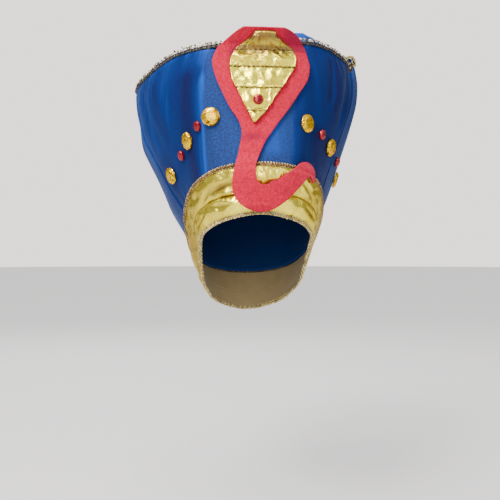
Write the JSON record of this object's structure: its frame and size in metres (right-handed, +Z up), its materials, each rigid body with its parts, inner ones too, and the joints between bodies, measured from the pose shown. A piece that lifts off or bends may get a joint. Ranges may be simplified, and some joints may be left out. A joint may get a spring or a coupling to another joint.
{
  "type": "pharaoh crown",
  "caption": "Tall flared pharaoh crown for costume wear: blue satin walls, padded gold headband, braid edges, a red felt cobra with a quilted hood, and foil stones.",
  "frame": {"origin": "Centre of the head opening, where a head carries the crown", "axes": "+Z up, the cobra faces -Y, +X is to the viewer's right of the front; +Z is the longest extent"},
  "size_m": [0.2592, 0.2761, 0.3103],
  "materials": {
    "blue_satin": "royal blue costume satin over stiff foam",
    "top_satin": "royal blue costume satin, loose and puckered",
    "silver_gimp": "silver and gold metallic gimp braid",
    "gold_lame": "padded gold lame with creases",
    "bronze_gimp": "bronze and gold metallic gimp braid",
    "gold_gimp": "pale gold metallic gimp braid",
    "red_felt": "matte pressed felt",
    "hood_lame": "quilted gold lame with stitched channels",
    "red_stone": "foil-backed red acrylic stone",
    "amber_stone": "foil-backed amber acrylic stone with a crackled foil"
  },
  "bodies": {
    "root": {"crown_front": "blue_satin", "crown_back": "blue_satin", "top_panel": "top_satin", "rim_braid": "silver_gimp", "band_upper": "gold_lame", "band_lower": "gold_lame", "band_top_braid": "bronze_gimp", "face_braid": "gold_gimp", "cobra_felt": "red_felt", "cobra_hood": "hood_lame", "hood_gem": "red_stone", "gold_gem_left_1": "amber_stone", "gold_gem_left_2": "amber_stone", "gold_gem_left_3": "amber_stone", "gold_gem_right_1": "amber_stone", "gold_gem_right_2": "amber_stone", "gold_gem_right_3": "amber_stone", "red_gem_left_1": "red_stone", "red_gem_left_2": "red_stone", "red_gem_right_1": "red_stone", "red_gem_right_2": "red_stone"}
  },
  "joints": []
}
